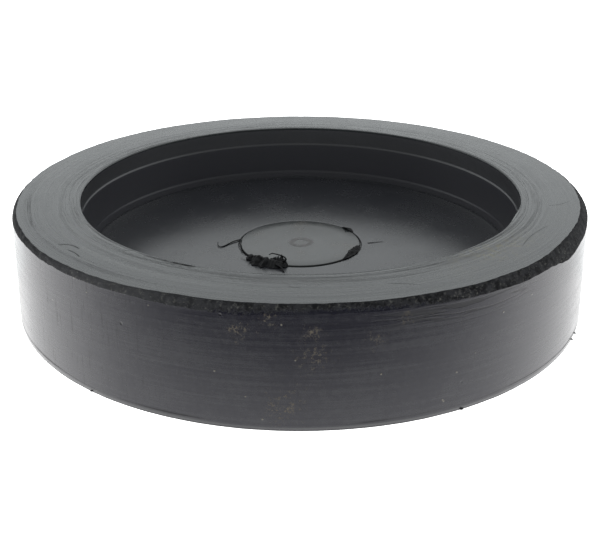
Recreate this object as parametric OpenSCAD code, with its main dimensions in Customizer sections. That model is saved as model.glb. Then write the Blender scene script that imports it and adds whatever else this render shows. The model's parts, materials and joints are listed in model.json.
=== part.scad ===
// Plunger head: a moulded rubber cup with a metal fitting moulded into its base.
// It stands on its back, with the open side up and the origin at the centre of the back face.
// All sizes are in millimetres.

/* [Cup] */
// Outside diameter at the back face
cup_d = 101.6; // [86:0.1:152]
// Height from the back face to the rim
cup_h = 19.05; // [19.05:0.05:30]
// Taper of the outer wall: how much its radius drops from the back face to the rim
wall_taper = 0.65; // [0:0.05:1.5]
// Diameter of the opening at the rim
mouth_d = 78.1; // [60:0.1:80]
// Thickness of the base inside the cup
base_t = 8; // [7.3:0.1:8.7]

/* [Cup wall] */
// Depth of the upper ledge in the inner wall, below the rim
ledge_1_depth = 3.45; // [2:0.05:5]
// Depth of the lower ledge in the inner wall, below the rim
ledge_2_depth = 9.5; // [6:0.05:9.8]
// Width of each sloping ledge, and how far it drops
ledge_w = 0.5; // [0.2:0.05:0.6]
// Greatest radius between the inner wall and the base
floor_r = 0.5; // [0.3:0.1:2]

/* [Edges] */
// Width of the ground bevel on the rim's outer edge, measured across the rim
bevel_w = 1.05; // [0.3:0.05:1.5]
// Height of the ground bevel, measured down the wall
bevel_h = 1.1; // [0.3:0.05:2]
// Bevel of the rim's inner edge
mouth_bevel = 0.3; // [0.1:0.05:0.6]
// Bevel of the back face's edge
foot_bevel = 0.2; // [0.1:0.05:1]

/* [Fitting] */
// Diameter of the round plate
plate_d = 22; // [19:0.5:30]
// Thickness of the plate
plate_t = 2; // [1.5:0.1:2]
// How far the plate's face stands above the base inside the cup
plate_proud = 0.15; // [0:0.05:0.4]
// Diameter of the round weld mark at the middle of the plate's face
mark_d = 4.2; // [3:0.1:6]
// Width across the nut's flats
nut_s = 16; // [15:0.5:18]
// Height of the nut
nut_h = 5; // [4:0.1:5]
// Diameter of the nut's hole, at the crests of its thread
thread_d = 8.5; // [6.8:0.1:8.5]

/* [Hidden] */
$fn = 128;

back_r = cup_d / 2;
rim_r = back_r - wall_taper;
mouth_r = mouth_d / 2;
// Outer wall's radius at the lower edge of the ground bevel
bevel_foot_r = rim_r + wall_taper * bevel_h / cup_h;
// Outer wall's radius at the upper edge of the foot's bevel
foot_top_r = back_r - wall_taper * foot_bevel / cup_h;

wall_1_r = mouth_r - ledge_w;
wall_2_r = wall_1_r - ledge_w;
ledge_1_z = cup_h - ledge_1_depth;
ledge_2_z = cup_h - ledge_2_depth;
wall_2_top_z = ledge_2_z - ledge_w;
floor_fillet = min(floor_r, wall_2_top_z - base_t);

plate_top = base_t + plate_proud;
plate_bottom = plate_top - plate_t;
nut_bottom = plate_bottom - nut_h;
// Open groove in the base round the edge of the plate
seam_w = 0.3;
seam_depth = 0.5;
// Ring of the weld mark
mark_ring_w = 0.7;
mark_depth = 0.12;
// Hole in the back of the rubber that leads to the nut
access_d = thread_d + 3.5;

nut_corner_r = nut_s / 2 / cos(30);
// Round land that the 30-degree corner bevels leave on each face of the nut
nut_land_r = 0.95 * nut_s / 2;
// The bevels are drawn out to this radius, just past the corners
nut_turned_r = nut_corner_r + 0.5;
nut_bevel_h = (nut_turned_r - nut_land_r) * tan(30);
// Bevel at the mouth of the thread
thread_bevel = 0.75;
// Extra length of a cutting shape past the face it cuts
past = 1;

// Points of a quarter round about [cx, cz], from angle a to angle b.
function quarter(cx, cz, r, a, b, steps = 8) =
    [for (i = [0:steps]) let (t = a + (b - a) * i / steps) [cx + r * cos(t), cz + r * sin(t)]];

// Half section of the cup without its pockets: radius along X, height along Y.
function cup_section() = concat(
    [
        [0, 0],
        [back_r - foot_bevel, 0],
        [foot_top_r, foot_bevel],
        [bevel_foot_r, cup_h - bevel_h],
        [rim_r - bevel_w, cup_h],
        [mouth_r + mouth_bevel, cup_h],
        [mouth_r, cup_h - mouth_bevel],
        [mouth_r, ledge_1_z],
        [wall_1_r, ledge_1_z - ledge_w],
        [wall_1_r, ledge_2_z],
        [wall_2_r, wall_2_top_z]
    ],
    quarter(wall_2_r - floor_fillet, base_t + floor_fillet, floor_fillet, 0, -90),
    [[0, base_t]]
);

// The plate's disc, which is also the pocket for it in the rubber.
module plate_disc() {
    translate([0, 0, plate_bottom]) cylinder(d = plate_d, h = plate_t);
}

// The nut's hexagon with bevelled corners, which is also the pocket for it in the rubber.
module nut_hexagon() {
    translate([0, 0, nut_bottom])
    intersection() {
        cylinder(r = nut_corner_r, h = nut_h, $fn = 6);
        rotate_extrude() polygon([
            [0, 0],
            [nut_land_r, 0],
            [nut_turned_r, nut_bevel_h],
            [nut_turned_r, nut_h - nut_bevel_h],
            [nut_land_r, nut_h],
            [0, nut_h]
        ]);
    }
}

// Rubber cup, moulded round the plate and the nut, with a hole in its back that leads to the nut.
module rubber_cup() {
    color([0.13, 0.13, 0.14])
    difference() {
        rotate_extrude() polygon(cup_section());
        plate_disc();
        nut_hexagon();
        translate([0, 0, base_t - seam_depth])
            cylinder(d = plate_d + 2 * seam_w, h = seam_depth + past);
        translate([0, 0, -past]) cylinder(d = access_d, h = nut_bottom + 2 * past);
    }
}

// Steel plate in the middle of the base, with a shallow ring where the nut is welded on.
module insert_plate() {
    color([0.28, 0.29, 0.31])
    difference() {
        plate_disc();
        translate([0, 0, plate_top - mark_depth])
        difference() {
            cylinder(d = mark_d, h = past);
            translate([0, 0, -past]) cylinder(d = mark_d - 2 * mark_ring_w, h = 3 * past);
        }
    }
}

// Thin hexagon nut under the plate, which takes the stud of a handle or a rod.
module insert_nut() {
    color([0.62, 0.6, 0.55])
    difference() {
        nut_hexagon();
        translate([0, 0, nut_bottom - past]) cylinder(d = thread_d, h = nut_h + 2 * past);
        translate([0, 0, nut_bottom])
            cylinder(d1 = thread_d + 2 * thread_bevel, d2 = thread_d, h = thread_bevel);
    }
}

rubber_cup();
insert_plate();
insert_nut();
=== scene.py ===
"""Plunger head: the moulded rubber cup, its torn flash and its fitting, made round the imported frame."""

import json
import math
import random

import bpy
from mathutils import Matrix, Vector, noise


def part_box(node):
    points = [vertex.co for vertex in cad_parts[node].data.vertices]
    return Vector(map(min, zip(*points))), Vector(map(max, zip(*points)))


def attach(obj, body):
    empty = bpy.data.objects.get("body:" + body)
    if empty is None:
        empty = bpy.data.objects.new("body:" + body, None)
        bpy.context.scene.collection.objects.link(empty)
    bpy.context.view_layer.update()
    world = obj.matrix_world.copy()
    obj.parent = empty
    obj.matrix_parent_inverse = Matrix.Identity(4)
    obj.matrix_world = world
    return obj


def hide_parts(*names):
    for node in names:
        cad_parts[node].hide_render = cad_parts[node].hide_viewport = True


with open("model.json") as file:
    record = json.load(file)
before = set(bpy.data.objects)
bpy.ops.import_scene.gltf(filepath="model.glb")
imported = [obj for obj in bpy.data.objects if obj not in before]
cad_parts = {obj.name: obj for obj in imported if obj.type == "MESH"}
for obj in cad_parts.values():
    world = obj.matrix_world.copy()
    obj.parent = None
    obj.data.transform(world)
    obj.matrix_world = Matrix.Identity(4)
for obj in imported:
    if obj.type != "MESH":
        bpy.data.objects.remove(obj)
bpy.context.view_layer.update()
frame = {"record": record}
scene = bpy.context.scene

MM = 0.001
TURN = 2 * math.pi

# ---------------------------------------------------------------------------------------------
# Sizes. The frame gives the outside of each part; the rest are the cup's own details.
# ---------------------------------------------------------------------------------------------

cup_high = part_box("rubber_cup")[1]
plate_low, plate_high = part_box("insert_plate")
nut_low, nut_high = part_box("insert_nut")
thread_r = next(m for m in frame["record"]["mounts"] if m["kind"] == "threaded_hole")["dims"]["r_mm"] * MM

TOP = cup_high.z
BACK_R = cup_high.x
RIM_R = BACK_R - 0.65 * MM
MOUTH_R = 0.7687 * BACK_R
BEVEL_W = 1.05 * MM
BEVEL_H = 1.1 * MM
BEVEL_FOOT_R = RIM_R + 0.04 * MM
FLOOR_Z = plate_high.z - 0.15 * MM
LEDGE_W = 0.5 * MM
LEDGE_1_Z = TOP - 3.45 * MM
LEDGE_2_Z = TOP - 9.5 * MM
STEP_W = 0.2 * MM
PLATE_R = plate_high.x
SEAM_W = 0.3 * MM
SEAM_DEPTH = 0.5 * MM
NUT_FLAT_R = nut_high.y
NUT_CORNER_R = NUT_FLAT_R / math.cos(math.radians(30))
ACCESS_R = thread_r + 1.75 * MM

# Steps round the axis in the cup's mesh
SEGMENTS = 720
# A ring this near to an edge keeps the shading beside the edge flat
NEAR_EDGE = 0.06 * MM
# Faces that meet at less than this angle are shaded as one surface
SMOOTH_BELOW = math.radians(40)


# ---------------------------------------------------------------------------------------------
# Modelling helpers
# ---------------------------------------------------------------------------------------------

def ease(t):
    """Smooth step from 0 to 1 as t goes from 0 to 1."""
    t = min(1.0, max(0.0, t))
    return t * t * (3 - 2 * t)


def clear_selection():
    """Deselects every object."""
    bpy.ops.object.select_all(action="DESELECT")


def turned(name, outline, segments, bore=True):
    """A turned solid: each (radius, height) of the outline is a ring. With a bore the last ring joins
    the first, and without one the first and last rings are small and filled."""
    clear_selection()
    radius, height = outline[0]
    depth = outline[1][1] - height
    bpy.ops.mesh.primitive_cylinder_add(vertices=segments, radius=radius, depth=depth, end_fill_type="NGON",
                                        location=(0, 0, height + depth / 2))
    piece = bpy.context.object
    piece.name = name
    bpy.ops.object.transform_apply(location=True, rotation=True, scale=True)
    bpy.ops.object.mode_set(mode="EDIT")
    bpy.ops.mesh.select_mode(type="FACE")
    bpy.ops.mesh.select_all(action="DESELECT")
    bpy.ops.object.mode_set(mode="OBJECT")
    for face in piece.data.polygons:
        face.select = face.normal.z > 0.9
    bpy.ops.object.mode_set(mode="EDIT")
    now_radius, now_height = radius, outline[1][1]
    widen = outline[1][0] / now_radius
    bpy.ops.transform.resize(value=(widen, widen, 1), center_override=(0, 0, now_height))
    now_radius = outline[1][0]
    for radius, height in outline[2:]:
        bpy.ops.mesh.extrude_region_move(TRANSFORM_OT_translate={"value": (0, 0, height - now_height)})
        widen = radius / now_radius
        bpy.ops.transform.resize(value=(widen, widen, 1), center_override=(0, 0, height))
        now_radius, now_height = radius, height
    if bore:
        bpy.ops.object.mode_set(mode="OBJECT")
        for face in piece.data.polygons:
            face.select = len(face.vertices) > 4
        bpy.ops.object.mode_set(mode="EDIT")
        bpy.ops.mesh.delete(type="ONLY_FACE")
        bpy.ops.mesh.select_mode(type="EDGE")
        bpy.ops.mesh.select_non_manifold(extend=False)
        bpy.ops.mesh.bridge_edge_loops(number_cuts=6, interpolation="LINEAR")
    bpy.ops.mesh.select_all(action="SELECT")
    bpy.ops.mesh.normals_make_consistent(inside=False)
    bpy.ops.object.mode_set(mode="OBJECT")
    return piece


def straight(start, end, rings):
    """Rings from start to end, without start."""
    return [(start[0] + (end[0] - start[0]) * i / rings, start[1] + (end[1] - start[1]) * i / rings)
            for i in range(1, rings + 1)]


def rounding(centre, radius, start, end, rings):
    """Rings along an arc about centre, from angle start to angle end in degrees, both ends included."""
    angles = [math.radians(start + (end - start) * i / rings) for i in range(rings + 1)]
    return [(centre[0] + radius * math.cos(a), centre[1] + radius * math.sin(a)) for a in angles]


def ledge(radius, height, soft, rings=9):
    """Rings of a small ledge, which starts at radius and height and steps inwards as it goes down. Its
    edges are rounded, over soft above and below it. The wall's taper makes up the rest of the ledge."""
    drop = STEP_W + 2 * soft
    return [(radius - STEP_W * ease(i / rings), height + soft - drop * i / rings) for i in range(rings + 1)]


# ---------------------------------------------------------------------------------------------
# Rubber cup
# ---------------------------------------------------------------------------------------------

# Turning lines in the rim near the mouth: how far each is outside the mouth, and its depth
RIM_LINES = [(0.6, 0.075), (1.3, 0.03), (2.0, 0.05), (2.8, 0.02), (3.6, 0.03), (4.5, 0.015)]
LINE_W = 0.17 * MM


def rim_rings():
    """Rings of the rim from the bevel in to the mouth, with a narrow groove at each turning line."""
    outer = RIM_R - BEVEL_W
    rings = [(outer - NEAR_EDGE, TOP)] + [(outer - d * MM, TOP) for d in (0.5, 1.2, 2, 3, 4)]
    for gap, depth in reversed(RIM_LINES):
        r = MOUTH_R + gap * MM
        rings += [(r + LINE_W, TOP), (r, TOP - depth * MM), (r - LINE_W, TOP)]
    return rings


def cup_outline():
    """Half section of the cup from the foot, up the wall, over the rim and down to the hole in the back."""
    wall_foot = (BACK_R - 0.01 * MM, 0.22 * MM)
    bevel_foot = (BEVEL_FOOT_R, TOP - BEVEL_H)
    rim_edge = (RIM_R - BEVEL_W, TOP)
    wall_1_r = MOUTH_R - LEDGE_W
    wall_2_r = wall_1_r - LEDGE_W
    seam_r = PLATE_R + SEAM_W
    lip = 0.3 * MM
    seam_edge = 0.15 * MM
    hole_edge = 0.3 * MM
    rings = [(BACK_R - 0.2 * MM, 0), (BACK_R - 0.06 * MM, 0.07 * MM), wall_foot]
    rings += straight(wall_foot, bevel_foot, 22)[:-1]
    rings += [(bevel_foot[0], bevel_foot[1] - NEAR_EDGE), bevel_foot]
    rings += straight(bevel_foot, rim_edge, 10)
    rings += rim_rings()
    rings += rounding((MOUTH_R + lip, TOP - lip), lip, 90, 180, 4)
    rings += straight((MOUTH_R, TOP - lip), (MOUTH_R, LEDGE_1_Z + 0.3 * MM), 3)
    rings += ledge(MOUTH_R, LEDGE_1_Z, 0.12 * MM)
    rings += straight((MOUTH_R - STEP_W, LEDGE_1_Z - LEDGE_W), (wall_1_r, LEDGE_2_Z + 0.5 * MM), 4)
    rings += ledge(wall_1_r, LEDGE_2_Z, 0.22 * MM)
    rings.append((wall_2_r, FLOOR_Z))
    rings += straight((wall_2_r, FLOOR_Z), (seam_r + 0.4 * MM, FLOOR_Z), 12)
    rings += rounding((seam_r + seam_edge, FLOOR_Z - seam_edge), seam_edge, 90, 180, 3)
    rings += [(seam_r, FLOOR_Z - SEAM_DEPTH), (PLATE_R, FLOOR_Z - SEAM_DEPTH), (PLATE_R, plate_low.z)]
    rings += [(NUT_CORNER_R, plate_low.z), (NUT_CORNER_R, nut_low.z)]
    rings += [(ACCESS_R, nut_low.z), (ACCESS_R, hole_edge)]
    rings += [(ACCESS_R + 0.1 * MM, 0.1 * MM), (ACCESS_R + hole_edge, 0)]
    return rings


# Hand grinding of the rim's outer edge: passes of the wheel, each with its bearing from the front (+ is
# towards +X) and its spread in degrees, and what it adds to the bevel's width and height in millimetres
GRINDING = [
    (-50, 22, -0.58, -0.15),
    (-19, 6, 0.2, 0.1),
    (-12, 4, 0, 0.25),
    (3, 14, 0.1, 0.05),
    (39, 9, -0.12, 0.45),
    (56.5, 3.4, 0.1, 0.75),
    (62, 9, 0.5, 0.55),
    (78, 8, 0.15, 0),
    (150, 20, -0.1, 0.1),
    (-130, 25, -0.2, 0.15),
]


def bearing(x, y):
    """Bearing of a point in degrees: 0 at the front, positive towards +X."""
    return math.degrees(math.atan2(x, -y))


def nearness(here, at, spread):
    """1 where the bearing here is at, falling to 0 on both sides of it; all in degrees."""
    off = (here - at + 180) % 360 - 180
    return math.exp(-0.5 * (off / spread) ** 2)


def turn_noise(x, y, scale, seed):
    """Noise along the circumference, with bumps about scale wide."""
    reach = math.hypot(x, y) or 1
    k = RIM_R / reach / scale
    return noise.noise(Vector((x * k, y * k, seed)))


def ground_size(x, y):
    """Width and height of the ground bevel at a point's bearing."""
    here = bearing(x, y)
    width, height = BEVEL_W, BEVEL_H
    for at, spread, wider, taller in GRINDING:
        touch = nearness(here, at, spread)
        width += wider * MM * touch
        height += taller * MM * touch
    width += (0.16 * turn_noise(x, y, 7 * MM, 3) + 0.13 * turn_noise(x, y, 1.5 * MM, 5)) * MM
    height += (0.22 * turn_noise(x, y, 8 * MM, 9) + 0.16 * turn_noise(x, y, 1.7 * MM, 12)) * MM
    return max(width, 0.25 * MM), max(height, 0.35 * MM)


# How far the unevenness of the bevel reaches over the rim and down the wall
FADE_RIM = 4 * MM
FADE_WALL = 5 * MM


def grind(cup):
    """Cuts the uneven ground bevel, and marks it with the attribute "ground". The mark weakens down the
    bevel at the front, where the wheel hardly touched its foot."""
    mask = cup.data.attributes.new("ground", "FLOAT", "POINT")
    edge_r = RIM_R - BEVEL_W
    foot_z = TOP - BEVEL_H
    for i, vertex in enumerate(cup.data.vertices):
        x, y, z = vertex.co
        r = math.hypot(x, y)
        if r < edge_r - FADE_RIM or z < foot_z - FADE_WALL:
            continue
        width, height = ground_size(x, y)
        in_bevel = r > edge_r - 0.01 * MM and z > foot_z - 0.01 * MM
        if in_bevel:
            t = max(0.0, (TOP - z) / BEVEL_H)
            mask.data[i].value = 1 - 0.8 * t * nearness(bearing(x, y), 4, 20)
            new_r = RIM_R - width * (1 - t) + (BEVEL_FOOT_R - RIM_R) * t
            new_z = TOP - height * t ** 1.3
            inside = math.sin(math.pi * min(1, max(0, t)))
            at = Vector((x, y, z))
            grain = noise.noise(at / (0.9 * MM)) + 0.6 * noise.noise(at / (0.42 * MM))
            push = inside * (0.05 + 0.09 * grain) * MM
            new_r += 0.7 * push
            new_z += 0.7 * push
        elif z > TOP - 0.5 * MM:
            new_r = r - (width - BEVEL_W) * ease((r - edge_r) / FADE_RIM + 1)
            new_z = z
        else:
            new_r = r
            new_z = z - (height - BEVEL_H) * ease((z - foot_z) / FADE_WALL + 1)
        vertex.co = (x * new_r / r, y * new_r / r, new_z)


# Places where the mouth's edge is off its circle: bearing and spread in degrees, and millimetres outwards
MOUTH_FAULTS = [(-95, 26, -0.45), (-50, 12, 0.1), (47, 9, -0.12), (67, 4.5, -0.3), (95, 22, -0.22)]


# The cracked stretch of the turning line next to the mouth: bearing and spread in degrees, and how much
# it adds to the line's depth
CRACK_AT, CRACK_SPREAD, CRACK_DEPTH = -26, 3.5, 9


def line_share(x, y, r):
    """Share of its depth that a turning line keeps at a point."""
    crack = 0.0
    if r < MOUTH_R + 1.5 * MM:
        crack = CRACK_DEPTH * nearness(bearing(x, y), CRACK_AT, CRACK_SPREAD)
        crack *= turn_noise(x, y, 1.1 * MM, 70 + r / MM)
    return max(0.0, 0.6 + 0.9 * turn_noise(x, y, 14 * MM, 60 + r / MM) + crack)


def trim_mouth(cup):
    """Makes the turning lines uneven, and pushes the mouth's edge off its circle here and there, fading
    out down the wall and across the rim."""
    for vertex in cup.data.vertices:
        x, y, z = vertex.co
        r = math.hypot(x, y)
        if MOUTH_R + 0.35 * MM < r < RIM_R - 3 * MM and z > TOP - 0.1 * MM:
            z = TOP - (TOP - z) * line_share(x, y, r)
        out = r - MOUTH_R
        share = ease((z - TOP) / (2.6 * MM) + 1) * ease(1 - out / (3 * MM)) * ease(out / MM + 2)
        here = bearing(x, y)
        shift = 0.1 * turn_noise(x, y, 16 * MM, 21)
        for at, spread, outwards in MOUTH_FAULTS:
            shift += outwards * nearness(here, at, spread)
        new_r = r + share * shift * MM
        vertex.co = (x * new_r / r, y * new_r / r, z)


def relax_outside(cup):
    """Lets the wall and the foot wander a little from a true circle, as cast rubber does."""
    for vertex in cup.data.vertices:
        x, y, z = vertex.co
        r = math.hypot(x, y)
        if r < BACK_R - 2.2 * MM or z > TOP - 0.4 * MM:
            continue
        by_foot = ease(1 - z / (1.6 * MM))
        off = 0.015 * turn_noise(x, y, 12 * MM, 31 + z * 60) - 0.015
        off += by_foot * 0.03 * (turn_noise(x, y, 1.9 * MM, 44) - 0.5)
        new_r = r + off * MM
        lift = 0.04 * MM * by_foot * max(0.0, turn_noise(x, y, 3.1 * MM, 52)) if z > 0 else 0
        vertex.co = (x * new_r / r, y * new_r / r, z + lift)


def hexagon(angle):
    """Distance from the axis to the nut's six flats at an angle in radians."""
    return NUT_FLAT_R / math.cos(angle % (TURN / 6) - TURN / 12)


def shape_pocket(cup):
    """Makes the nut's pocket six-sided."""
    for vertex in cup.data.vertices:
        x, y, z = vertex.co
        r = math.hypot(x, y)
        if abs(r - NUT_CORNER_R) < 0.01 * MM and nut_low.z - 0.01 * MM < z < plate_low.z + 0.01 * MM:
            new_r = hexagon(math.atan2(y, x))
            vertex.co = (x * new_r / r, y * new_r / r, z)


def make_cup():
    cup = turned("rubber_cup_moulding", cup_outline(), SEGMENTS)
    shape_pocket(cup)
    grind(cup)
    trim_mouth(cup)
    relax_outside(cup)
    bpy.ops.object.shade_smooth_by_angle(angle=SMOOTH_BELOW)
    return cup


# ---------------------------------------------------------------------------------------------
# Torn flash
# ---------------------------------------------------------------------------------------------

def on_floor(degrees, r, height):
    """A point at a bearing in degrees, a radius and a height over the cup's floor, both in millimetres."""
    a = math.radians(degrees)
    return Vector((r * math.sin(a) * MM, -r * math.cos(a) * MM, FLOOR_Z + height * MM))


# Thickness of the torn tongues, and how far outside the plate's edge they stand, both in millimetres
TONGUE_T = 0.12
TONGUE_GAP = 0.12


def flap(name, start, end, width, height, inwards, torn, pointed, seed):
    """A torn tongue of rubber on the plate's seam, from bearing start to end in degrees. It stands up
    height from the seam, leans inwards over the plate, and comes down again width outside the seam; all
    in millimetres. Torn says how ragged it is, and pointed how slender its ends are."""
    clear_selection()
    bpy.ops.mesh.primitive_grid_add(x_subdivisions=72, y_subdivisions=16, size=1)
    piece = bpy.context.object
    piece.name = name
    seam = PLATE_R / MM + TONGUE_GAP
    for vertex in piece.data.vertices:
        along, across = vertex.co.x + 0.5, max(0.0, vertex.co.y + 0.5)
        share = max(0.0, math.sin(math.pi * along)) ** pointed
        fray = noise.noise(Vector((along * 7, seed, 0))) + 0.8 * noise.noise(Vector((along * 19, seed, 4)))
        share *= 1 + torn * fray
        crumple = 0.16 * noise.noise(Vector((along * 14, across * 4, seed + 7))) * share
        rise = height * share * math.sin(math.pi * across ** 0.55)
        r = seam + share * (width * across ** 1.5 - inwards * math.sin(math.pi * across ** 0.7)) + crumple
        vertex.co = on_floor(start + (end - start) * along, r, 0.07 + max(0.0, rise + crumple))
    thicken = piece.modifiers.new("thickness", "SOLIDIFY")
    thicken.thickness = TONGUE_T * MM
    thicken.offset = 0
    bpy.ops.object.modifier_apply(modifier=thicken.name)
    smooth = piece.modifiers.new("smooth", "SUBSURF")
    smooth.levels = smooth.render_levels = 1
    bpy.ops.object.modifier_apply(modifier=smooth.name)
    bpy.ops.object.shade_smooth()
    return piece


def thread(name, points, thickness):
    """A thread of rubber through points given as on_floor takes them, thinner at its end."""
    clear_selection()
    bpy.ops.curve.primitive_nurbs_path_add()
    piece = bpy.context.object
    piece.name = name
    piece.data.splines.clear()
    line = piece.data.splines.new("NURBS")
    line.points.add(len(points) - 1)
    line.order_u = 3
    for i, (point, at) in enumerate(zip(line.points, points)):
        point.co = (*on_floor(*at), 1)
        point.radius = 1 - 0.55 * i / (len(points) - 1)
    line.use_endpoint_u = True
    piece.data.bevel_depth = thickness * MM / 2
    piece.data.bevel_resolution = 3
    piece.data.resolution_u = 6
    piece.data.use_fill_caps = True
    bpy.ops.object.convert(target="MESH")
    bpy.ops.object.shade_smooth()
    return piece


def crumb(name, at, size, seed):
    """A small ragged lump of rubber."""
    clear_selection()
    bpy.ops.mesh.primitive_ico_sphere_add(subdivisions=4, radius=size * MM / 2)
    piece = bpy.context.object
    piece.name = name
    for vertex in piece.data.vertices:
        bumps = 1 + 0.7 * noise.noise(vertex.co / (0.5 * size * MM) + Vector((seed, 0, 0)))
        vertex.co = Vector((vertex.co.x * bumps * 1.3, vertex.co.y * bumps, vertex.co.z * bumps * 0.7)) + at
    bpy.ops.object.shade_smooth()
    return piece


# Crumbs of rubber at the foot of the wall: bearing in degrees, size and height in millimetres
CRUMBS = [(65, 0.35, 0.4), (62.4, 0.35, 0.3), (27.5, 0.4, 0.25), (-38, 0.3, 0.25)]
WISPS = 12


def make_flash():
    """The torn flash round the plate, loose threads on the floor, and crumbs at the foot of the wall."""
    pieces = [
        flap("flash_long_flap", -54, -11, 2.1, 1.05, 0.0, 0.5, 0.5, 1.0),
        flap("flash_torn_end", -31, -11, 0.5, 1.1, 1.1, 0.45, 0.5, 5.0),
        flap("flash_right_flap", 42, 84, 0.35, 0.65, 0.85, 0.25, 1.0, 9.0),
        flap("flash_back_lump", 118, 133, 0.8, 0.4, 0.5, 0.4, 0.6, 13.0),
        thread("flash_torn_hook", [(-18, 11.1, 0.6), (-12.5, 11.0, 1.0), (-14, 10.4, 1.3), (-20, 9.9, 1.4),
                                   (-27, 9.6, 1.35), (-32, 9.5, 1.3), (-33, 10.0, 1.1)], 0.34),
        thread("flash_torn_tail", [(-24, 11.8, 0.5), (-19, 12.2, 0.5), (-14, 12.8, 0.3),
                                   (-11.5, 13.8, 0.1)], 0.5),
        thread("flash_left_thread", [(-96, 11.1, 0.15), (-93, 12.0, 0.2), (-87, 13.1, 0.12), (-82, 14.1, 0.1),
                                     (-81, 14.8, 0.12), (-84, 15.2, 0.2), (-88, 15.1, 0.35)], 0.26),
        thread("flash_right_thread", [(89, 12.5, 0.06), (90, 13.4, 0.08), (91, 14.4, 0.07),
                                      (92, 15.4, 0.05)], 0.11),
        thread("flash_seam_thread", [(-100, 11.1, 0.1), (-92, 10.8, 0.5), (-84, 11.3, 0.35), (-76, 10.9, 0.6),
                                     (-68, 11.3, 0.5), (-62, 11.1, 0.2)], 0.2),
    ]
    rng = random.Random(7)
    for i in range(WISPS):
        at = rng.uniform(-56, -16)
        r = rng.uniform(11.2, 12.4)
        lean = rng.uniform(-7, 7)
        out = rng.uniform(0.4, 1.1)
        pieces.append(thread(f"flash_wisp_{i + 1}", [(at, r, 0.5), (at + lean / 2, r + out / 2, 0.9),
                                                     (at + lean, r + out, 0.45)], 0.16))
    for i, (degrees, size, height) in enumerate(CRUMBS):
        a = math.radians(degrees)
        at = Vector((BACK_R * math.sin(a), -BACK_R * math.cos(a), height * MM))
        pieces.append(crumb(f"foot_crumb_{i + 1}", at, size, 3.0 * i))
    return pieces


# ---------------------------------------------------------------------------------------------
# Fitting
# ---------------------------------------------------------------------------------------------

WELD_R = 2.05 * MM
# Section of the weld mark: millimetres inwards from WELD_R, and share of the depth of its sunk ring
WELD_SECTION = [(-0.5, 0), (-0.15, 0), (0, 0.5), (0.2, 1), (0.5, 1), (0.7, 0.4), (1.1, 0.15)]


def make_plate():
    """The plate, with a shallow sunk ring and a low crown where the nut is welded on behind."""
    top, low, r = plate_high.z, plate_low.z, PLATE_R
    middle = 0.2 * MM
    edge = 0.15 * MM
    deep = 0.03 * MM
    outline = [(middle, low), (r - edge, low), (r, low + edge), (r, top - edge)]
    outline += rounding((r - edge, top - edge), edge, 0, 90, 4)[1:]
    outline += [(r - 2.5 * MM, top), (r - 5 * MM, top)]
    outline += [(WELD_R - inwards * MM, top - share * deep) for inwards, share in WELD_SECTION]
    outline.append((middle, top))
    plate = turned("insert_plate_disc", outline, 192, bore=False)
    bpy.ops.object.shade_smooth_by_angle(angle=SMOOTH_BELOW)
    return plate


def make_nut():
    """The thin nut with bevelled corners, a countersink and a real thread."""
    low, high = nut_low.z, nut_high.z
    land = 0.95 * NUT_FLAT_R
    slope = math.tan(math.radians(30))
    pitch = 1.5 * MM
    thread_depth = 0.75 * MM
    sink = thread_r + thread_depth
    outline = [(sink, low), (land, low)]
    outline += straight((land, low), (NUT_CORNER_R, low + (NUT_CORNER_R - land) * slope), 4)
    outline += straight(outline[-1], (NUT_CORNER_R, high - (NUT_CORNER_R - land) * slope), 3)
    outline += straight(outline[-1], (land, high), 4)
    outline += [(sink, high)]
    outline += straight((sink, high), (sink, low), 60)[:-1]
    nut = turned("insert_nut_threaded", outline, 240)
    for vertex in nut.data.vertices:
        x, y, z = vertex.co
        r = math.hypot(x, y)
        a = math.atan2(y, x)
        if r > land * 0.999:
            new_r = min(r, hexagon(a))
        elif r < sink * 1.001 and low < z < high:
            turn = ((z - low) / pitch - a / TURN) % 1
            crest = 1 - abs(2 * turn - 1)
            mouth = min(1.0, (z - low) / thread_depth, (high - z) / thread_depth)
            new_r = sink - thread_depth * mouth * min(1.0, 1.2 * crest)
        else:
            new_r = r
        vertex.co = (x * new_r / r, y * new_r / r, z)
    bpy.ops.object.shade_smooth_by_angle(angle=math.radians(25))
    return nut


# ---------------------------------------------------------------------------------------------
# Materials
# ---------------------------------------------------------------------------------------------

class Signal:
    """A shader socket that Python's operators work on."""

    def __init__(self, paint, socket):
        self.paint = paint
        self.socket = socket

    def __add__(self, other):
        return self.paint.math("ADD", self, other)

    def __sub__(self, other):
        return self.paint.math("SUBTRACT", self, other)

    def __rsub__(self, other):
        return self.paint.math("SUBTRACT", other, self)

    def __mul__(self, other):
        return self.paint.math("MULTIPLY", self, other)

    def __truediv__(self, other):
        return self.paint.math("DIVIDE", self, other)

    def __rtruediv__(self, other):
        return self.paint.math("DIVIDE", other, self)

    __radd__ = __add__
    __rmul__ = __mul__


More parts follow.
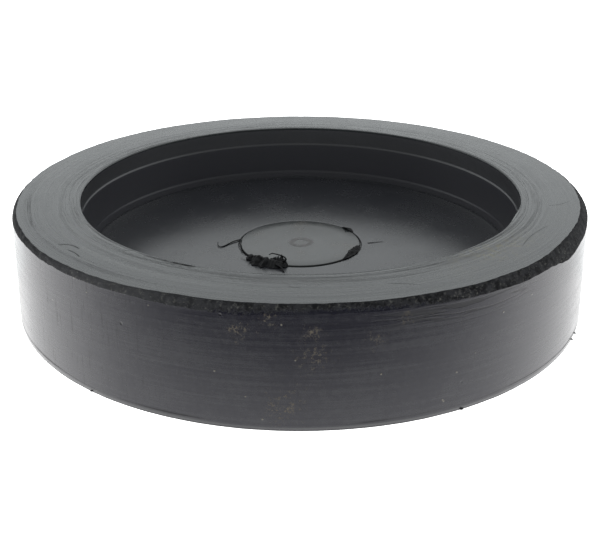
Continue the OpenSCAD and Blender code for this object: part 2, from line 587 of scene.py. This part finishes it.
class Paint:
    """A procedural material with a Principled shader."""

    def __init__(self, name, **constants):
        self.material = bpy.data.materials.new(name)
        self.material.use_nodes = True
        self.tree = self.material.node_tree
        self.shader = self.tree.nodes["Principled BSDF"]
        for socket, value in constants.items():
            self.shader.inputs[socket.replace("_", " ")].default_value = value

    def node(self, kind, settings=None, inputs=None, output=0):
        """Adds a node, applies its settings, then sets or links its sockets, and returns one output."""
        new = self.tree.nodes.new("ShaderNode" + kind)
        for name, value in (settings or {}).items():
            setattr(new, name, value)
        for name, value in (inputs or {}).items():
            if isinstance(value, Signal):
                self.tree.links.new(value.socket, new.inputs[name])
            else:
                new.inputs[name].default_value = value
        return Signal(self, new.outputs[output])

    def math(self, operation, *values):
        return self.node("Math", {"operation": operation}, dict(enumerate(values)))

    def clamp(self, value, low=0.0, high=1.0):
        return self.node("Clamp", {}, {"Value": value, "Min": low, "Max": high})

    def step(self, value, start, end, low=0.0, high=1.0):
        """Smooth step of value from start to end."""
        return self.node("MapRange", {"interpolation_type": "SMOOTHSTEP"},
                         {"Value": value, "From Min": start, "From Max": end, "To Min": low, "To Max": high})

    def place(self):
        """The piece's own coordinates, in millimetres."""
        at = self.node("TexCoord", output="Object")
        return self.node("VectorMath", {"operation": "SCALE"}, {0: at, "Scale": 1000.0})

    def length(self, vector):
        return self.node("VectorMath", {"operation": "LENGTH"}, {0: vector}, 1)

    def bell(self, value, middle, spread):
        """1 at middle, and falling to 0 on both sides of it."""
        off = (value - middle) / spread
        return self.math("EXPONENT", off * off * -0.5)

    def parts(self, vector):
        return [self.node("SeparateXYZ", {}, {"Vector": vector}, i) for i in range(3)]

    def vector(self, x, y, z):
        return self.node("CombineXYZ", {}, {"X": x, "Y": y, "Z": z})

    def noise(self, vector, scale, detail, rough, seed=0.0):
        return self.node("TexNoise", {"noise_dimensions": "4D"},
                         {"Vector": vector, "W": seed, "Scale": scale, "Detail": detail, "Roughness": rough})

    def mix(self, share, first, second):
        """Colours: first where share is 0 and second where it is 1."""
        return self.node("Mix", {"data_type": "RGBA"}, {"Factor": share, "A": first, "B": second}, 2)

    def bump(self, height):
        """Relief from a height in millimetres."""
        return self.node("Bump", {}, {"Height": height, "Distance": MM, "Strength": 1.0})

    def connect(self, **signals):
        for socket, signal in signals.items():
            self.tree.links.new(signal.socket, self.shader.inputs[socket.replace("_", " ")])

    def dull(self, share, **signals):
        """Blends in a second shader, which takes the same signals but hardly shines, where share is 1."""
        shiny = Signal(self, self.shader.outputs[0])
        self.connect(**signals)
        matt = self.node("BsdfPrincipled", {}, {"Specular IOR Level": 0.12})
        self.shader = matt.socket.node
        self.connect(**signals)
        blend = self.node("MixShader", {}, {0: share, 1: shiny, 2: matt})
        self.tree.links.new(blend.socket, self.tree.nodes["Material Output"].inputs["Surface"])


class Sky(Paint):
    """The shader of the surroundings, which takes a colour and a strength."""

    def __init__(self, name, colour):
        scene.world = bpy.data.worlds.new(name)
        scene.world.use_nodes = True
        self.tree = scene.world.node_tree
        self.shader = self.tree.nodes["Background"]
        self.shader.inputs["Color"].default_value = colour


def grey(value):
    return (value, value, value, 1)


NEAR_BLACK = (0.003, 0.003, 0.004, 1)


TOP_MM = TOP / MM
RIM_MM = RIM_R / MM
MOUTH_MM = MOUTH_R / MM
FLOOR_MM = FLOOR_Z / MM

# Scratches in the rim, each part of a circle: its centre and radius, the direction of its middle from the
# centre and half its length, both in degrees, its width, and how dark it is
SCRATCHES = [
    ((56.9, -38.1), 24.7, 146, 14, 0.12, 0.5),
    ((41.6, -4.2), 6.3, -63, 24, 0.14, 0.35),
    ((-36.6, -31.4), 3.4, 63, 42, 0.2, 0.8),
    ((-39.6, -36.4), 7.6, 40, 16, 0.18, 0.7),
    ((-21, -60), 30, 96, 6, 0.14, 0.5),
    ((12, -70), 27.5, 85, 5, 0.14, 0.45),
    ((0, 0), 39.75, -116, 2.6, 0.34, 1.0),
    ((0, 0), 39.85, -119, 8, 0.16, 0.8),
    ((-0.6, -42.8), 1.1, -100, 60, 0.16, 0.4),
]

# Where dirt clings to the wall: bearing in degrees, and depth below the rim and spread in millimetres
DIRT = [(-5, 1.8, 1.2), (-10, 3.8, 1.7), (2, 3.6, 0.8), (2, 7.4, 2.0), (-2.5, 14.8, 2.4), (12, 5.5, 1.2),
        (17, 2.5, 1)]
MM_PER_DEGREE = RIM_MM * TURN / 360


def scratch(p, x, y, centre, radius, middle, half, width):
    """1 along part of a circle in the rim, fading out towards its ends."""
    off = p.vector(x - centre[0], y - centre[1], 0.0)
    away = p.length(off)
    gap = p.math("ABSOLUTE", away - radius)
    ahead = p.node("VectorMath", {"operation": "DOT_PRODUCT"},
                   {0: off, 1: (math.cos(math.radians(middle)), math.sin(math.radians(middle)), 0)}, 1)
    ends = p.step(ahead / away, math.cos(math.radians(half)), math.cos(math.radians(half * 0.6)))
    return p.step(gap, width, 0.3 * width) * ends


def specks(p, at, spacing, size, share, seed):
    """1 on small round specks, about spacing apart, of which only some are there."""
    moved = p.node("VectorMath", {"operation": "ADD"}, {0: at, 1: (seed, 2 * seed, 3 * seed)})
    cells = {"Vector": moved, "Scale": 1 / spacing}
    near = p.node("TexVoronoi", {}, cells)
    pick = p.node("SeparateColor", {}, {"Color": p.node("TexVoronoi", {}, cells, 1)})
    return p.step(near, size / spacing, 0.5 * size / spacing) * p.step(pick, share, share - 0.05)


def rubber_material():
    """Moulded black rubber: satin on the rim, the wall and the floor, and matt where the bevel is ground,
    with painted fill light on the recess walls and a painted glow round the foot.
    """
    p = Paint("moulded_black_rubber", IOR=1.5)
    at = p.place()
    x, y, z = p.parts(at)
    reach = p.length(p.vector(x, y, 0.0))
    turn = p.math("ARCTAN2", x, y * -1.0) * (360 / TURN)
    blotches = p.noise(at, 0.13, 4.0, 0.6, 2.0)
    mottle = p.noise(at, 1.3, 4.0, 0.65, 7.0)

    # Zones
    grain = p.noise(at, 2.0, 4.0, 0.7)
    ground = p.node("Attribute", {"attribute_name": "ground"}, {}, 2)
    ground = p.step(ground + (grain - 0.5) * 1.1, 0.4, 0.65) * p.step(ground, 0.02, 0.2)
    not_ground = 1.0 - ground
    rim = p.step(z, TOP_MM - 0.5, TOP_MM - 0.35) * not_ground
    outside = p.step(reach, RIM_MM - 2.4, RIM_MM - 2.0) * (1.0 - rim) * not_ground
    inside = p.step(reach, MOUTH_MM + 1.5, MOUTH_MM + 1.1) * (1.0 - rim) * p.step(z, 0.2, 0.6)
    inner_wall = inside * p.step(z, FLOOR_MM + 0.15, FLOOR_MM + 0.8)
    # Mask of the upper inner wall, which only carries painted fill light
    painted_fill_upper_wall = inside * p.step(z, TOP_MM - 3.9, TOP_MM - 3.6)

    # Rim: turning lines, closest together and deepest near the mouth
    wander = p.noise(at, 0.05, 2.0, 0.5, 5.0)
    lathe = p.noise(p.vector(reach + wander, turn * 0.006, 0.0), 1.7, 4.0, 0.75, 3.0)
    line = p.step(p.math("ABSOLUTE", lathe - 0.5), 0.035, 0.008)
    by_mouth = p.step(reach, MOUTH_MM + 5.5, MOUTH_MM + 1.0)
    by_edge = p.bell(reach, 47.3, 0.5) * p.step(turn, -20.0, -40.0) * p.step(turn, -100.0, -75.0)
    by_mouth = by_mouth * (p.bell(turn, 10.0, 45.0) * 0.45 + 0.3)
    turned_lines = rim * line * p.clamp(by_mouth + by_edge * 0.6 + 0.1)
    drag = p.noise(p.vector(reach * 2.4, turn * 0.06, 0.0), 1.0, 4.0, 0.7, 8.0)
    scratches = [scratch(p, x, y, *shape) * dark for *shape, dark in SCRATCHES]
    cuts = rim * p.clamp(sum(scratches[1:], scratches[0]))
    stain_spots = p.step(p.noise(at, 1.1, 5.0, 0.8, 9.0), 0.47, 0.6)
    stain = rim * stain_spots * p.bell(turn, 45.0, 7.0) * p.bell(reach + (blotches - 0.5) * 20.0, 43.0, 2.2)
    tracks = p.noise(p.vector(reach, turn * 0.012, 0.0), 0.95, 3.0, 0.6, 21.0) - 0.5
    tracks = tracks * (p.bell(turn, 5.0, 35.0) * 0.75 + 0.25)

    # Outside: streaks along the wall and down it, folds under the rim, dirt, pits and dust
    along = p.noise(p.vector(turn * 0.035, 0.0, z * 1.5), 1.0, 4.0, 0.65, 4.0)
    down = p.noise(p.vector(turn * 2.2, 0.0, z * 0.13), 1.0, 3.0, 0.6, 6.0)
    left = p.bell(turn, -44.0, 13.0)
    runs = outside * left * p.step(down, 0.57, 0.64)
    sag = p.noise(p.vector(turn * 0.09, 0.0, 0.0), 1.0, 2.0, 0.5, 11.0)
    fold = p.noise(p.vector(turn * 0.05, 0.0, z * 1.1 + sag * 2.5), 1.0, 2.0, 0.5, 12.0)
    fold = p.math("ABSOLUTE", fold - 0.5)
    folds = outside * p.step(fold, 0.05, 0.01) * p.bell(z, TOP_MM - 2.6, 1.0) * p.bell(turn, 27.0, 11.0)
    near = [p.bell(p.length(p.vector((turn - b) * MM_PER_DEGREE, z - (TOP_MM - d), 0.0)), 0.0, wide)
            for b, d, wide in DIRT]
    clinging = p.clamp(sum(near[1:], near[0]))
    dirt = outside * p.step(p.noise(at, 1.9, 5.0, 0.8, 15.0) + clinging * 0.1, 0.6, 0.7) * clinging
    dust = specks(p, at, 2.3, 0.18, 0.35, 3.0) * (outside + rim * 0.5)
    pits = specks(p, at, 3.7, 0.3, 0.35, 11.0) * (outside + rim * 0.6)
    # Painted light: a lighter band round the foot stands in for the glow of the light table on it; the same
    # band raises a slight ridge and is a little glossier
    foot_ridge_and_painted_glow = outside * p.bell(z, 0.5, 0.16) * p.step(along, 0.3, 0.6, 0.4, 1.0)
    foot_dark = outside * p.clamp(p.step(z, 0.3, 0.15) + p.bell(z, 1.0, 0.13) * p.step(along, 0.45, 0.6))

    # Colour
    colour = p.mix(rim, (0.0036, 0.0034, 0.0087, 1), (0.0145, 0.0168, 0.0178, 1))
    colour = p.mix(inside, colour, (0.017, 0.0175, 0.0205, 1))
    # Painted fill light: the walls of the recess get lighter base colours than the rest of the rubber,
    # lighter still on the upper wall, standing in for light in the shaded recess
    colour = p.mix(inner_wall, colour, (0.029, 0.0285, 0.0335, 1))
    colour = p.mix(painted_fill_upper_wall, colour, (0.042, 0.042, 0.045, 1))
    uneven = (mottle - 0.5) * 0.8 + (blotches - 0.5) * 0.8 + (along - 0.5) * outside * 1.1
    uneven = uneven + tracks * rim * 2.2
    colour = p.mix(uneven + 0.15, colour, (0.027, 0.0275, 0.031, 1))
    # Painted glow of the light table on the foot
    colour = p.mix(foot_ridge_and_painted_glow * 0.5, colour, grey(0.07))
    colour = p.mix(dirt * 0.65, colour, (0.09, 0.072, 0.044, 1))
    colour = p.mix(stain * 0.55, colour, (0.2, 0.18, 0.105, 1))
    colour = p.mix(p.clamp(cuts + turned_lines + foot_dark + folds * 0.7 + runs * 0.6 + pits * 0.8) * 0.8,
                   colour, grey(0.003))
    bright = p.step(p.noise(at, 2.6, 4.0, 0.75, 16.0), 0.53, 0.68)
    dim = p.step(p.noise(at, 0.9, 4.0, 0.7, 17.0), 0.4, 0.6)
    coarse = p.mix(dim, NEAR_BLACK, (0.016, 0.016, 0.018, 1))
    coarse = p.mix(p.bell(turn, -34.0, 13.0) * 0.55, coarse, (0.042, 0.042, 0.044, 1))
    coarse = p.mix(bright * 0.6, coarse, (0.1, 0.098, 0.088, 1))
    colour = p.mix(ground, colour, coarse)
    colour = p.mix(dust * 0.4, colour, (0.2, 0.18, 0.13, 1))

    # Gloss
    rough = (blotches - 0.5) * 0.16 + (mottle - 0.5) * 0.1 + (drag - 0.5) * rim * 0.12
    rough = rough + (along - 0.5) * outside * 0.2
    rough = rough + 0.26 + inner_wall * 0.1 + tracks * rim * 0.5
    rough = rough + p.clamp(cuts + turned_lines + dirt + stain * 0.5 + folds) * 0.3
    rough = rough + foot_dark * 0.3 - foot_ridge_and_painted_glow * 0.05
    rough = p.clamp(rough + ground * (0.85 - rough), 0.12, 1.0)

    # Relief, in millimetres
    relief = (mottle - 0.5) * (rim * 0.004 + outside * 0.002) + (drag - 0.5) * rim * 0.03
    relief = relief - turned_lines * 0.03
    relief = relief + tracks * rim * 0.05
    relief = relief - cuts * 0.08 + (along - 0.5) * outside * 0.03 - folds * 0.02 - runs * 0.004 - pits * 0.06
    relief = relief + dust * 0.02 + foot_ridge_and_painted_glow * 0.02 + p.noise(at, 3.0, 3.0, 0.7, 18.0) * ground * 0.2
    matt = ground * 0.85 + cuts * 0.8 + turned_lines * 0.3 + foot_dark * 0.6 + dirt * 0.4 + stain * 0.3
    p.dull(p.clamp(matt + runs * 0.35),
           Base_Color=colour, Roughness=rough, Normal=p.bump(relief))
    return p.material


def flash_material():
    """Thin torn flash, matt and darker than the cup, with greyer patches."""
    p = Paint("torn_rubber_flash", IOR=1.5, Specular_IOR_Level=0.22)
    at = p.place()
    blotches = p.noise(at, 1.2, 4.0, 0.65, 2.0)
    p.connect(Base_Color=p.mix(p.step(blotches, 0.45, 0.7), NEAR_BLACK, (0.014, 0.014, 0.015, 1)),
              Roughness=p.step(blotches, 0.3, 0.7, 0.5, 0.75),
              Normal=p.bump(p.noise(at, 4.0, 3.0, 0.6, 4.0) * 0.08))
    return p.material


def plate_material():
    """Steel under a dark satin coat of bonding agent, with the heat mark of the weld in the middle."""
    p = Paint("dark_satin_steel", IOR=1.5)
    at = p.place()
    x, y = p.parts(at)[:2]
    blotches = p.noise(at, 0.3, 4.0, 0.6, 1.0)
    mottle = p.noise(at, 1.6, 4.0, 0.65, 4.0)
    uneven = p.noise(at, 0.8, 2.0, 0.5, 6.0)
    from_weld = p.length(p.vector(x - 0.2, y, 0.0))
    weld = p.bell(from_weld + (uneven - 0.5) * 0.9, 1.75, 0.32) * p.step(uneven, 0.25, 0.55, 0.3, 1.0)
    rust = p.step(blotches, 0.5, 0.75) * 0.35
    colour = p.mix(mottle, (0.019, 0.021, 0.022, 1), (0.029, 0.031, 0.031, 1))
    colour = p.mix(rust, colour, (0.055, 0.046, 0.035, 1))
    colour = p.mix(weld * 0.6, colour, (0.03, 0.018, 0.019, 1))
    rough = (blotches - 0.5) * 0.12 + (mottle - 0.5) * 0.1 + weld * 0.14 + 0.25
    p.connect(Base_Color=colour, Roughness=rough, Normal=p.bump((mottle - 0.5) * 0.008 - weld * 0.02))
    return p.material


def nut_material():
    """Plain zinc-grey steel with a few brown spots."""
    p = Paint("plain_steel", Metallic=1.0)
    at = p.place()
    blotches = p.noise(at, 0.8, 4.0, 0.6, 1.0)
    spots = p.step(p.noise(at, 1.7, 4.0, 0.7, 3.0), 0.58, 0.7)
    colour = p.mix(blotches, (0.4, 0.39, 0.37, 1), (0.58, 0.57, 0.55, 1))
    p.connect(Base_Color=p.mix(spots * 0.6, colour, (0.2, 0.11, 0.05, 1)),
              Roughness=p.step(blotches, 0.3, 0.7, 0.3, 0.45) + spots * 0.3,
              Normal=p.bump(p.noise(at, 3.0, 3.0, 0.6, 5.0) * 0.02))
    return p.material


# ---------------------------------------------------------------------------------------------
# Studio
# ---------------------------------------------------------------------------------------------

def make_floor():
    """A light table: a pale floor that glows evenly, so that it is as white as the surroundings."""
    clear_selection()
    bpy.ops.mesh.primitive_circle_add(vertices=96, radius=2.5, fill_type="NGON", location=(0, 0, 0))
    floor = bpy.context.object
    floor.name = "floor"
    p = Paint("pale_floor", Base_Color=grey(0.8), Roughness=0.9, Emission_Color=grey(1),
              Emission_Strength=1.5)
    floor.data.materials.append(p.material)


def make_graded_card():
    """A card on the table that only gloss sees: white under the part, black in front of it."""
    clear_selection()
    depth = 0.5
    bpy.ops.mesh.primitive_plane_add(size=1, location=(0, -depth / 2, 0.05 * MM))
    card = bpy.context.object
    card.name = "graded_card"
    card.scale = (1.2, depth, 1)
    bpy.ops.object.transform_apply(location=True, rotation=True, scale=True)
    p = Paint("graded_card", Base_Color=grey(0.02), Roughness=0.9, Emission_Strength=2.2)
    y = p.parts(p.place())[1]
    # In millimetres: black this far in front of the axis, and white after this much less
    black_at, fade = 94.0, 56.0
    p.connect(Emission_Color=p.clamp((y + black_at) / fade, 0.02, 1.0))
    card.data.materials.append(p.material)
    card.visible_camera = False
    card.visible_diffuse = False
    card.visible_shadow = False


def light_studio():
    """Even, slightly cool white surroundings, which gloss sees dimmer towards the front."""
    sky = Sky("white_studio", (0.95, 0.99, 1, 1))
    towards_back = sky.parts(sky.node("TexCoord", output="Generated"))[1]
    for_gloss = sky.step(towards_back, -0.5, 0.4, 0.12, 1.27)
    is_gloss = sky.node("LightPath", output="Is Glossy Ray")
    sky.connect(Strength=sky.node("Mix", {}, {"Factor": is_gloss, "A": 1.1, "B": for_gloss}))


def make_camera():
    """Camera in front of the part, looking down on it from about three and a half of its radii away."""
    unit = 0.979 * RIM_R
    back, up, tilt = 3.363 * unit, 1.136 * unit, 23.92
    data = bpy.data.cameras.new("camera")
    data.sensor_width = 36
    data.lens = 57.8
    camera = bpy.data.objects.new("camera", data)
    camera.location = (0, -back, TOP + up)
    camera.rotation_euler = (math.radians(90 - tilt), 0, 0)
    scene.collection.objects.link(camera)
    scene.camera = camera


scene.view_settings.view_transform = "Standard"
make_camera()
light_studio()
make_floor()
make_graded_card()

rubber = rubber_material()
cup = make_cup()
plate = make_plate()
nut = make_nut()
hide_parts("rubber_cup")
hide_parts("insert_plate")
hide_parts("insert_nut")
pieces = [(cup, rubber, "rubber"), (plate, plate_material(), "plate"), (nut, nut_material(), "nut")]
flash_rubber = flash_material()
pieces += [(piece, flash_rubber, "rubber") for piece in make_flash()]
for piece, material, slot in pieces:
    piece.data.materials.append(material)
    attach(piece, "root")
